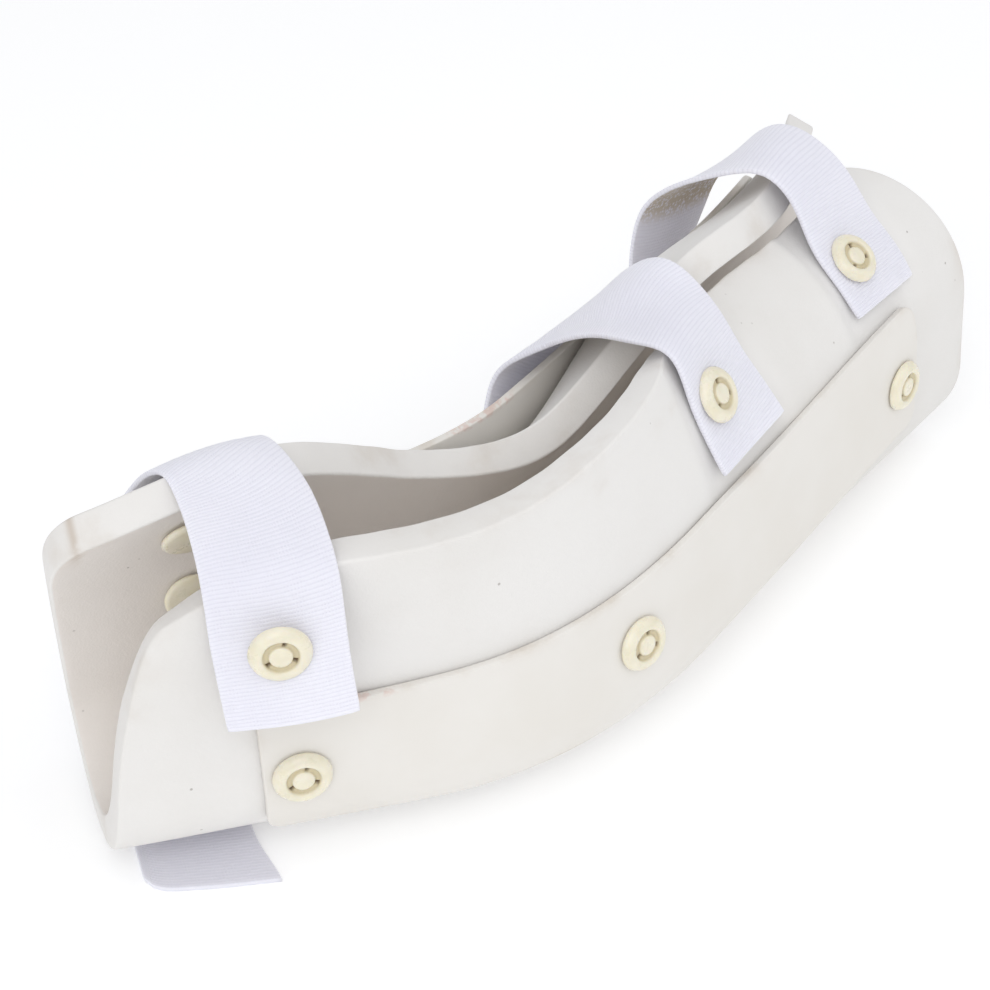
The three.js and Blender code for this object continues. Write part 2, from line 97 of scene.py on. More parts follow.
RISE = STRAP + GAP           # the gutter lies on the strap's free end
BAR_FACE = FOAM / 2 + GAP + 0.05
FAR_STAND = BAR + DOME + 2 * GAP
FAR_PIN_UP = 23.6            # rivet of the far bar at the hand strap, up from the bar's low edge
FAR_TAB_ACROSS = 96.4        # rivet near the far edge, across the sheet
SHIFT = np.array([-0.7223, 18.5759, 0.0])   # puts the part's middle at the origin
TO_METRES = 0.001

BEND_LENGTH = BEND_RADIUS * BEND_ANGLE
ARM_RUN = LENGTH - HAND_RUN - BEND_LENGTH
CHORD_X = HAND_RUN + BEND_RADIUS * math.sin(BEND_ANGLE) + ARM_RUN * math.cos(BEND_ANGLE)
CHORD_Y = BEND_RADIUS * (1 - math.cos(BEND_ANGLE)) + ARM_RUN * math.sin(BEND_ANGLE)
START = -math.atan2(CHORD_Y, CHORD_X)
HALF = math.hypot(CHORD_X, CHORD_Y) / 2

# Finish of the edges, and wear
FOAM_RIM = 0.8               # radius of the rounded rim
BAR_RIM = 0.45
STRAP_RIM = 0.5
SLACK = 0.02                 # how closely the rows of the sheet meet its rim
RIM_SAMPLES = 17             # directions in which the rim's radius is tried
HALVINGS = 40                # steps in the search for the end of a line
PRESS = 1.3                  # how far a tight strap sinks into the foam wall
STRAP_SINK = 0.9             # and how far the strap follows
SINK_END = (20.0, 36.0)      # along the strap, where that fades out
PRESS_LEFT = (-21.0, -16.0)  # off the strap's middle line, where the dent starts
PRESS_RIGHT = (10.0, 22.0)   # and where it ends
PRESS_LOW = (-12.0, 2.0)     # off the strap's near end, where it starts across the sheet
EDGE_WAVES = ((0.12, 0.21, 1.0), (0.07, 0.57, 2.2))   # height, turns along, start
EDGE_BAND = 0.1              # share of the sheet at each edge that waves
FACE_WAVE = 0.18             # slight waves of the foam's faces
SHELL_ROWS, SHELL_LINES = 181, 161
SMUDGE_REACH = 3.0           # how far in from its edges the foam is smudged
STAIN = dict(along=7.0, half=1.1, drop=8.0, weight=0.5)
RUB_LINE = dict(down=9.0, half=2.5, start=60.0, full=110.0)   # rubbed line below the near edge
SMUDGE_SHARES = (0.6, 0.4)   # weight of the edge smudge and of the rubbed line
BAR_CORNER_STEPS, BAR_ROWS, BAR_LINES = 12, 110, 31
BAR_RUB = 1.2                # how far in from its edges a bar is rubbed
PEN_FADE = 2.0               # how softly a pen mark ends
PEN_BAND = (1.2, 0.4)        # it lies between these distances from the bar's top edge
OUTER_MARKS = [(62, 72)]     # pen marks on the bars, from and to along the gutter
INNER_MARKS = [(120, 150), (205, 235)]
STRAP_LINES = 21
STRAP_STEP = 1.6             # length of a strap's faces
BLUR = 3.2                   # how far a strap's bends are smoothed along it
BLUR_STEPS = 8
HELD = 8.0                   # a rivet holds the strap down within this distance
HOOK_START = (44.0, 50.0)    # hook patch, along the strap
HOOK_END = (78.0, 84.0)
FLARE_FROM = 2.0             # off the strap's middle line, where its end is pulled out
SECTION_STEP = 2.0           # spacing of the outline that the straps are drawn over
TINY = 1e-6
TAIL_ROUND = (7.0, 4.5)      # rounded corner of the free end: across, along
TAIL_FLARE = (16.0, 3.0)     # its other corner is pulled out: over this length, by this much


def smooth(x, a, b):
    t = np.clip((x - a) / (b - a), 0, 1)
    return t * t * (3 - 2 * t)


def curve(rows, u):
    """A smooth curve through values at even steps, u in steps from the first one."""
    rows = np.asarray(rows, float)
    rows = np.concatenate([[2 * rows[0] - rows[1]], rows, [2 * rows[-1] - rows[-2]]])
    last = len(rows) - 3
    u = np.clip(np.asarray(u, float), 0, last)
    i = np.minimum(u.astype(int), last - 1)
    w = u - i
    a, b, c, d = rows[i], rows[i + 1], rows[i + 2], rows[i + 3]
    return b + 0.5 * w * (c - a + w * (2 * a - 5 * b + 4 * c - d + w * (3 * (b - c) + d - a)))


# The sheet that the gutter is bent from
def column(name, s):
    return curve(SECTIONS[:, NAMES.index(name)], np.asarray(s, float) / LENGTH * (len(SECTIONS) - 1))


def in_section(s, across, off, straight=False):
    s, across = np.broadcast_arrays(np.asarray(s, float), np.asarray(across, float))
    near = across >= 0
    a = np.abs(across)
    floor = column("floor", s)
    top = np.pi / 2 + np.radians(np.where(near, column("nearLean", s), column("farLean", s)))
    bend_end = floor + BOTTOM_RADIUS * top
    flat = np.where(near, NEAR_FLAT, column("farFlat", s))
    run = np.where(near, column("near", s) - bend_end - flat, column("farRun", s))
    curl = np.radians(np.where(near, column("nearCurl", s), column("farCurl", s))) * (not straight)
    bend = curl / np.maximum(run, SHORTEST_CURL)
    turn = np.clip((a - floor) / BOTTOM_RADIUS, 0, top)
    climb = np.clip(a - bend_end, 0, flat)
    curled = np.clip(a - bend_end - flat, 0, run)
    flap = np.maximum(a - bend_end - flat - run, 0)
    last = top + bend * curled
    out = np.minimum(a, floor) + BOTTOM_RADIUS * np.sin(turn)
    out = out + climb * np.cos(top) + flap * np.cos(last)
    up = BOTTOM_RADIUS * (1 - np.cos(turn)) + climb * np.sin(top) + flap * np.sin(last)
    bent = np.abs(bend * curled) > TINY
    safe = np.where(bent, bend, 1.0)
    out = out + np.where(bent, (np.sin(last) - np.sin(top)) / safe, curled * np.cos(top))
    up = up - np.where(bent, (np.cos(last) - np.cos(top)) / safe, -curled * np.sin(top))
    slope = turn + bend * curled
    side = np.where(near, 1.0, -1.0)
    up = up - off * np.cos(slope) + FOAM / 2 + RISE + column("rise", s)
    return side * (out + off * np.sin(slope)), up


def place(s, out, up):
    run = np.minimum(s, HAND_RUN)
    end = START + np.clip(s - HAND_RUN, 0, BEND_LENGTH) / BEND_RADIUS
    arm = np.maximum(s - HAND_RUN - BEND_LENGTH, 0)
    x = run * math.cos(START) + BEND_RADIUS * (np.sin(end) - math.sin(START)) + arm * np.cos(end) - HALF
    y = run * math.sin(START) - BEND_RADIUS * (np.cos(end) - math.cos(START)) + arm * np.sin(end)
    return np.stack([x + out * np.sin(end), y - out * np.cos(end), up + 0 * x], -1) + SHIFT


def on_sheet(s, across, off, straight=False):
    out, up = in_section(s, across, off, straight)
    return place(np.asarray(s, float), out, up)


def wall_edge(s, wall):
    hand_run, hand_rise, arm_run, arm_rise = CORNERS[wall]
    hand = np.clip((hand_run - s) / hand_run, 0, 1)
    arm = np.clip((s - LENGTH + arm_run) / arm_run, 0, 1)
    cut = hand_rise * (1 - np.sqrt(1 - hand**2)) + arm_rise * (1 - np.sqrt(1 - arm**2))
    return column(wall, s) - cut


def inset_edge(s, wall):
    """The edge of a wall, set in by the radius of its rim."""
    angles = np.linspace(-np.pi / 2, np.pi / 2, RIM_SAMPLES)
    reach = [wall_edge(s + FOAM_RIM * math.sin(t), wall) - FOAM_RIM * math.cos(t) for t in angles]
    return np.min(reach, axis=0)


# Meshes
def piece(name, verts, faces, material, node, uv=None, values=None):
    mesh = bpy.data.meshes.new(name)
    mesh.from_pydata((np.asarray(verts) * TO_METRES).tolist(), [], [list(map(int, f)) for f in faces])
    bm = bmesh.new()
    bm.from_mesh(mesh)
    bmesh.ops.recalc_face_normals(bm, faces=bm.faces)
    bm.to_mesh(mesh)
    bm.free()
    for polygon in mesh.polygons:
        polygon.use_smooth = True
    if uv is not None:
        layer = mesh.uv_layers.new(name="UVMap")
        index = np.zeros(len(mesh.loops), int)
        mesh.loops.foreach_get("vertex_index", index)
        layer.data.foreach_set("uv", np.asarray(uv, np.float32)[index].ravel())
    for key, value in (values or {}).items():
        attribute = mesh.attributes.new(key, "FLOAT", "POINT")
        attribute.data.foreach_set("value", np.asarray(value, np.float32))
    obj = bpy.data.objects.new(name, mesh)
    bpy.context.scene.collection.objects.link(obj)
    mesh.materials.append(material)
    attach(obj, "root")
    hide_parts(node)
    return obj


def slab(s, a, point, low, high, radius, arc=4):
    """Thick sheet over a grid of sheet coordinates that is set in by the radius of its rounded rim.
    Returns vertices, faces, sheet coordinates, and for each vertex 1 on the outer face, -1 on the inner
    and 0 on the rim."""
    n, m = s.shape
    ring = [(0, j) for j in range(m)] + [(i, m - 1) for i in range(1, n)]
    ring += [(n - 1, j) for j in range(m - 2, -1, -1)] + [(i, 0) for i in range(n - 2, 0, -1)]
    ri, rj = np.array(ring).T
    edge = np.stack([s[ri, rj], a[ri, rj]], -1)
    along = np.roll(edge, -1, 0) - np.roll(edge, 1, 0)
    along /= np.maximum(np.linalg.norm(along, axis=1), 1e-9)[:, None]
    outward = np.stack([along[:, 1], -along[:, 0]], -1)
    if ((edge - edge.mean(0)) * outward).sum(1).mean() < 0:
        outward = -outward
    flat = np.stack([s.ravel(), a.ravel()], -1)
    verts = [point(flat[:, 0], flat[:, 1], np.full(n * m, off)) for off in (high, low)]
    coords = [flat, flat]
    faces_of = [np.ones(n * m), -np.ones(n * m)]
    angles = np.linspace(0, np.pi / 2, arc + 1)[1:]
    steps = [(math.sin(t), high - radius * (1 - math.cos(t))) for t in angles]
    steps += [(math.sin(t), low + radius * (1 - math.cos(t))) for t in angles[::-1]]
    for share, off in steps:
        line = edge + outward * radius * share
        verts.append(point(line[:, 0], line[:, 1], np.full(len(line), off)))
        coords.append(line)
        faces_of.append(np.zeros(len(line)))
    grid = np.arange(n * m).reshape(n, m)
    quads = np.stack([grid[:-1, :-1], grid[1:, :-1], grid[1:, 1:], grid[:-1, 1:]], -1).reshape(-1, 4)
    faces = [quads, quads[:, ::-1] + n * m]
    rings = [grid[ri, rj]]
    rings += [2 * n * m + k * len(ri) + np.arange(len(ri)) for k in range(len(steps))]
    rings += [grid[ri, rj] + n * m]
    for p, q in zip(rings, rings[1:]):
        faces.append(np.stack([p, q, np.roll(q, -1), np.roll(p, -1)], -1))
    return tuple(np.concatenate(rows) for rows in (verts, faces, coords, faces_of))


# Materials
class Paint:
    """A material built from nodes: each call adds a node and returns its first output."""

    def __init__(self, name):
        self.material = bpy.data.materials.new(name)
        self.material.use_nodes = True
        self.tree = self.material.node_tree
        self.shader = self.tree.nodes["Principled BSDF"]

    def add(self, kind, inputs=(), output=0, **settings):
        node = self.tree.nodes.new("ShaderNode" + kind)
        for key, value in settings.items():
            setattr(node, key, value)
        for key, value in dict(inputs).items():
            self.put(node.inputs[key], value)
        return node.outputs[output]

    def put(self, socket, value):
        if isinstance(value, bpy.types.NodeSocket):
            self.tree.links.new(value, socket)
        else:
            socket.default_value = value

    def set(self, **values):
        for key, value in values.items():
            self.put(self.shader.inputs[key.replace("_", " ")], value)

    def math(self, operation, a, b=0.0, clamp=False):
        return self.add("Math", {0: a, 1: b}, operation=operation, use_clamp=clamp)

    def mix(self, share, a, b, blend="MIX"):
        return self.add("Mix", {0: share, 6: a, 7: b}, 2, data_type="RGBA", blend_type=blend)

    def noise(self, scale, detail=3.0, coords=None, rough=0.55):
        where = coords or self.add("TexCoord", output=3)
        inputs = {"Vector": where, "Scale": scale, "Detail": detail, "Roughness": rough}
        return self.add("TexNoise", inputs)

    def ramp(self, value, low, high):
        inputs = {0: value, 1: low, 2: high, 3: 0.0, 4: 1.0}
        return self.add("MapRange", inputs, interpolation_type="SMOOTHSTEP")

    def value(self, name):
        return self.add("Attribute", output=2, attribute_name=name)

    def bump(self, height, distance, strength=1.0, below=None):
        inputs = {"Height": height, "Distance": distance, "Strength": strength}
        if below is not None:
            inputs["Normal"] = below
        return self.add("Bump", inputs)


def foam_paint():
    p = Paint("foam")
    broad = p.noise(14.0, 4.0)
    colour = p.mix(p.ramp(broad, 0.35, 0.7), (0.815, 0.80, 0.78, 1), (0.77, 0.75, 0.72, 1))
    # Inner faces painted lighter and warmer than the outer faces: painted light that lifts the shade
    # inside the gutter
    inner = p.ramp(p.value("outer"), 0.2, -0.8)
    colour = p.mix(p.math("MULTIPLY", inner, 0.7), colour, (0.88, 0.825, 0.775, 1))
    smudge = p.math("MULTIPLY", p.ramp(p.noise(55.0, 5.0), 0.48, 0.75), p.value("edge"))
    colour = p.mix(p.math("MULTIPLY", smudge, 0.4), colour, (0.50, 0.40, 0.30, 1))
    spot = p.math("MULTIPLY", p.value("stain"), p.ramp(p.noise(160.0, 5.0), 0.3, 0.62))
    colour = p.mix(spot, colour, (0.42, 0.31, 0.21, 1))
    where = p.add("TexCoord", output=3)
    cell = p.add("TexVoronoi", {"Vector": where, "Scale": 150.0, "Randomness": 1.0})
    speck = p.math("MULTIPLY", p.ramp(cell, 0.075, 0.035), p.ramp(p.noise(45.0, 2.0), 0.52, 0.6))
    colour = p.mix(p.math("MULTIPLY", speck, 0.55), colour, (0.22, 0.19, 0.16, 1))
    fine = p.noise(1500.0, 2.0)
    dent = p.noise(95.0, 3.0)
    p.set(Base_Color=colour, Roughness=p.math("ADD", 0.62, p.math("MULTIPLY", fine, 0.2)))
    p.set(Normal=p.bump(fine, 0.00012, 0.6, p.bump(dent, 0.0005, 0.5)))
    return p.material


def bar_paint():
    p = Paint("bar_plastic")
    tone = p.ramp(p.noise(20.0, 4.0), 0.35, 0.7)
    colour = p.mix(tone, (0.80, 0.775, 0.735, 1), (0.77, 0.74, 0.69, 1))
    rub = p.math("MULTIPLY", p.value("edge"), p.ramp(p.noise(70.0, 4.0), 0.45, 0.75))
    colour = p.mix(p.math("MULTIPLY", rub, 0.4), colour, (0.52, 0.42, 0.31, 1))
    pen = p.math("MULTIPLY", p.value("mark"), p.ramp(p.noise(420.0, 4.0), 0.42, 0.6))
    colour = p.mix(p.math("MULTIPLY", pen, 0.35), colour, (0.62, 0.32, 0.25, 1))
    fine = p.noise(900.0, 3.0)
    p.set(Base_Color=colour, Roughness=p.math("ADD", 0.36, p.math("MULTIPLY", p.noise(60.0, 4.0), 0.2)))
    p.set(Normal=p.bump(fine, 0.00005, 0.5, p.bump(p.noise(40.0, 2.0), 0.0006, 0.3)))
    return p.material


RIB = 0.00095     # pitch of the tape's ribs, in metres
CROSS = 0.00075   # pitch of its threads across


def strap_paint():
    p = Paint("tape")
    uv = p.add("UVMap")
    split = p.tree.nodes.new("ShaderNodeSeparateXYZ")
    p.put(split.inputs[0], uv)
    sway = p.math("MULTIPLY", p.math("SUBTRACT", p.noise(220.0, 2.0, uv), 0.5), 0.0003)
    rib = p.math("SINE", p.math("MULTIPLY", p.math("ADD", split.outputs[0], sway), 2 * math.pi / RIB))
    thread = p.math("SINE", p.math("MULTIPLY", split.outputs[1], 2 * math.pi / CROSS))
    pin = p.math("MULTIPLY", p.math("MULTIPLY", rib, thread), p.ramp(p.noise(300.0, 3.0, uv), 0.4, 0.7))
    weave = p.math("ADD", p.math("MULTIPLY", rib, 0.7), p.math("MULTIPLY", pin, 0.4))
    fuzz = p.math("MULTIPLY", p.noise(2600.0, 2.0, uv), 0.9)
    height = p.math("ADD", p.math("MULTIPLY", weave, 0.6), fuzz)
    under = p.ramp(p.value("outer"), 0.2, -0.8)
    tone = p.ramp(p.noise(35.0, 4.0, uv), 0.3, 0.75)
    colour = p.mix(tone, (0.85, 0.845, 0.94, 1), (0.81, 0.805, 0.905, 1))
    # Low parts of the weave painted darker: painted shade between the ribs and threads
    colour = p.mix(p.math("MULTIPLY", p.ramp(weave, 0.1, -1.1), 0.4), colour, (0.60, 0.59, 0.70, 1))
    # Under faces painted darker and greyer than the outer faces: painted shade on the underside of the
    # tape
    colour = p.mix(p.math("MULTIPLY", under, 0.5), colour, (0.62, 0.61, 0.66, 1))
    hook = p.math("MULTIPLY", p.value("hook"), under)
    stub = p.add("TexVoronoi", {"Vector": uv, "Scale": 1100.0})
    colour = p.mix(p.math("MULTIPLY", hook, p.ramp(stub, 0.15, 0.6)), colour, (0.50, 0.43, 0.34, 1))
    p.set(Base_Color=colour, Roughness=0.9, Sheen_Weight=0.25, Sheen_Roughness=0.5)
    p.set(Subsurface_Weight=0.5, Subsurface_Radius=(0.003, 0.003, 0.003), Subsurface_Scale=1.0)
    p.set(Normal=p.bump(height, 0.00012, 0.8))
    return p.material


def rivet_paint():
    p = Paint("rivet_plastic")
    tone = p.ramp(p.noise(260.0, 3.0), 0.3, 0.7)
    colour = p.mix(tone, (0.85, 0.80, 0.65, 1), (0.80, 0.75, 0.585, 1))
    colour = p.mix(p.value("groove"), colour, (0.60, 0.51, 0.31, 1))
    # Slots painted near black: painted shade inside the openings, which are only shallow dents
    colour = p.mix(p.value("slot"), colour, (0.16, 0.10, 0.04, 1))
    gloss = p.math("MULTIPLY", p.noise(300.0, 3.0), 0.18)
    p.set(Base_Color=colour, Roughness=p.math("ADD", 0.2, gloss))
    p.set(Subsurface_Weight=0.25, Subsurface_Radius=(0.004, 0.003, 0.0015), Coat_Weight=0.3)
    p.set(Normal=p.bump(p.noise(700.0, 3.0), 0.00006, 0.5))
    return p.material


FOAM_PAINT = foam_paint()
BAR_PAINT = bar_paint()
STRAP_PAINT = strap_paint()
RIVET_PAINT = rivet_paint()


# Straps: where each runs. s is along the gutter, d along the strap.
def strap_line(strap, d):
    return curve(strap["line"], d / STATION)


def strap_cross(strap, distance, w):
    slope = (strap_line(strap, distance + 1) - strap_line(strap, distance - 1)) / 2
    share = w / np.hypot(1, slope)
    return strap_line(strap, distance) + share, distance - slope * share


# Foam gutter. Each line along it starts and ends at the rounded corners.
def rim_line(s, wall):
    """The edge of a wall without its corners, set in by the radius of its rim."""
    slope = column(wall, s + 0.5) - column(wall, s - 0.5)
    return column(wall, s) - FOAM_RIM * np.hypot(1, slope)


def across_at(s, v):
    far, near = rim_line(s, "far"), rim_line(s, "near")
    return -far + v * (far + near)


def line_ends(v, out, into):
    out = np.full(len(v), float(out))
    into = np.full(len(v), float(into))
    for _ in range(HALVINGS):
        middle = (out + into) / 2
        a = across_at(middle, v)
        held = (a <= inset_edge(middle, "near") + SLACK) & (-a <= inset_edge(middle, "far") + SLACK)
        into = np.where(held, middle, into)
        out = np.where(held, out, middle)
    return into


def pressed(s, a):
    """How far the wrist and forearm straps press the near wall in."""
    depth = 0 * s
    for strap in STRAPS[1:]:
        off = s - strap_line(strap, a - strap["low"])
        left = smooth(off, *PRESS_LEFT)
        right = 1 - smooth(off, *PRESS_RIGHT)
        low, full = PRESS_LOW
        depth = depth + PRESS * left * right * smooth(a, strap["low"] + low, strap["low"] + full)
    return depth


def edge_wave(s):
    return sum(height * np.sin(turns * s + start) for height, turns, start in EDGE_WAVES)


def build_shell():
    u = np.linspace(0, 1, SHELL_ROWS)
    v = 0.5 - 0.5 * np.cos(np.linspace(0, np.pi, SHELL_LINES))
    hand = line_ends(v, FOAM_RIM, LONGEST_CORNER)
    arm = line_ends(v, LENGTH - FOAM_RIM, LENGTH - LONGEST_CORNER)
    s = hand + (arm - hand) * u[:, None]
    a = across_at(s, v[None, :])

    def point(s, a, off):
        share = np.clip((a + column("far", s)) / (column("far", s) + column("near", s)), 0, 1)
        shift = edge_wave(s) * (smooth(share, 1 - EDGE_BAND, 1) - smooth(share, EDGE_BAND, 0))
        depth = pressed(s, a) * smooth(off, 0, FOAM / 2)
        wave = FACE_WAVE * np.sin(0.083 * s + 0.05 * a) * np.sin(0.061 * a - 0.02 * s + 1)
        return on_sheet(s, a + shift, off - depth + wave)

    verts, faces, at, side = slab(s, a, point, -FOAM / 2, FOAM / 2, FOAM_RIM)
    s, a = at.T
    reach = np.minimum(wall_edge(s, "near") - a, a + wall_edge(s, "far"))
    hand_end = np.interp(a, across_at(hand, v), hand)
    arm_end = np.interp(a, across_at(arm, v), arm)
    ends = np.minimum(s - hand_end, arm_end - s)
    near_edge = np.exp(-np.clip(np.minimum(reach, ends), 0, None) / SMUDGE_REACH)
    stain = np.exp(-(((s - STAIN["along"]) / STAIN["half"]) ** 2))
    stain = stain * np.exp(-(((a + column("far", s)) / STAIN["drop"]) ** 2))
    line = np.exp(-(((column("near", s) - a - RUB_LINE["down"]) / RUB_LINE["half"]) ** 2))
    line = line * smooth(s, RUB_LINE["start"], RUB_LINE["full"]) * (side > 0)
    edge_share, line_share = SMUDGE_SHARES
    edge = np.clip(edge_share * near_edge + line_share * line, 0, 1)
    values = {"outer": side, "edge": edge, "stain": STAIN["weight"] * stain}
    shell = piece("foam_gutter", verts, faces, FOAM_PAINT, "shell", at * TO_METRES, values)


# Side bars
def bar_low(bar, s):
    return bar[2] + (bar[3] - bar[2]) * (s - bar[0]) / (bar[1] - bar[0])


def build_bar(name, node, bar, side, straight, marks):
    length = bar[1] - bar[0] - 2 * BAR_RIM
    radius = BAR_CORNER - BAR_RIM
    corner = radius * (1 - np.cos(np.linspace(0, np.pi / 2, BAR_CORNER_STEPS)))
    middle = np.linspace(radius, length - radius, BAR_ROWS)[1:-1]
    rows = np.concatenate([corner, middle, (length - corner)[::-1]])
    v = np.linspace(0, 1, BAR_LINES)
    t = np.clip((radius - np.minimum(rows, length - rows)) / radius, 0, 1)
    cut = (BAR_RIM + radius * (1 - np.sqrt(1 - t**2)))[:, None]
    s = np.repeat((bar[0] + BAR_RIM + rows)[:, None], len(v), 1)
    a = bar_low(bar, s) + cut + (BAR_WIDTH - 2 * cut) * v

    def point(s, a, off):
        return on_sheet(s, side * a, BAR_FACE + off, straight)

    verts, faces, at, _ = slab(s, a, point, 0, BAR, BAR_RIM)
    s, a = at.T
    up = a - bar_low(bar, s)
    inside = np.minimum(np.minimum(up, BAR_WIDTH - up), np.minimum(s - bar[0], bar[1] - s))
    rim = np.exp(-np.clip(inside, 0, None) / BAR_RUB)
    mark = 0 * s
    for start, end in marks:
        begun = smooth(s, start - PEN_FADE, start + PEN_FADE)
        mark = mark + begun * (1 - smooth(s, end - PEN_FADE, end + PEN_FADE))
    mark = mark * smooth(up, BAR_WIDTH - PEN_BAND[0], BAR_WIDTH - PEN_BAND[1])
    values = {"edge": rim, "mark": mark}
    return piece(name, verts, faces, BAR_PAINT, node, at * TO_METRES, values)


# Straps, drawn over the outline of what they cross
def hull(points):
    pts = sorted(map(tuple, points))

    def chain(items):
        kept = []
        for q in items:
            while len(kept) > 1:
                (ax, ay), (bx, by) = kept[-2:]
                if (bx - ax) * (q[1] - ay) - (by - ay) * (q[0] - ax) > 0:
                    break
                kept.pop()
            kept.append(q)
        return kept[:-1]

    return np.array(chain(pts) + chain(pts[::-1]))


def outline(strap, s):
    """The way round everything in a section from the strap's near end, and the length to each point."""
    near = float(wall_edge(s, "near"))
    far = float(wall_edge(s, "far"))
    sheet = np.arange(-far, near, SECTION_STEP)
    across = np.concatenate([sheet, [near, near, -far, -far]])
    off = np.concatenate([np.full(len(sheet), FOAM / 2), [-FOAM / 2, FOAM / 2, -FOAM / 2, FOAM / 2]])
    points = [np.stack(in_section(s, across, off), -1)]
    up = np.linspace(0, BAR_WIDTH, 7)
    if NEAR_BAR[0] < s < NEAR_BAR[1]:
        points.append(np.stack(in_section(s, bar_low(NEAR_BAR, s) + up, BAR_FACE + BAR), -1))
    far_low = bar_low(FAR_BAR, s)
    points.append(np.stack(in_section(s, -far_low - up, BAR_FACE + BAR + 2 * GAP, True), -1))
    if strap["under"]:
        points.append(np.array([[TAIL_FROM, RISE], [TAIL_BEYOND, RISE]]))
        half = np.array([-HEAD / 2, HEAD / 2])
        points.append(np.stack(in_section(s, -FAR_TAB_ACROSS - half, FOAM / 2 + DOME + 2 * GAP), -1))
        pin = -far_low - FAR_PIN_UP - half
        points.append(np.stack(in_section(s, pin, FOAM / 2 + FAR_STAND, True), -1))
    ring = hull(np.concatenate(points))
    first = np.array(in_section(s, strap["low"], FOAM / 2))
    edge = np.roll(ring, -1, 0) - ring
    t = np.clip(((first - ring) * edge).sum(1) / (edge**2).sum(1), 0, 1)
    foot = ring + edge * t[:, None]
    i = int(np.argmin(np.linalg.norm(foot - first, axis=1)))
    back = foot[i] - STATION * edge[i] / np.linalg.norm(edge[i])
    path = np.concatenate([[back, foot[i]], np.roll(ring, -i - 1, 0), [foot[i]]])
    steps = np.linalg.norm(np.diff(path, axis=0), axis=1)
    return path, np.concatenate([[0], np.cumsum(steps)]) - STATION


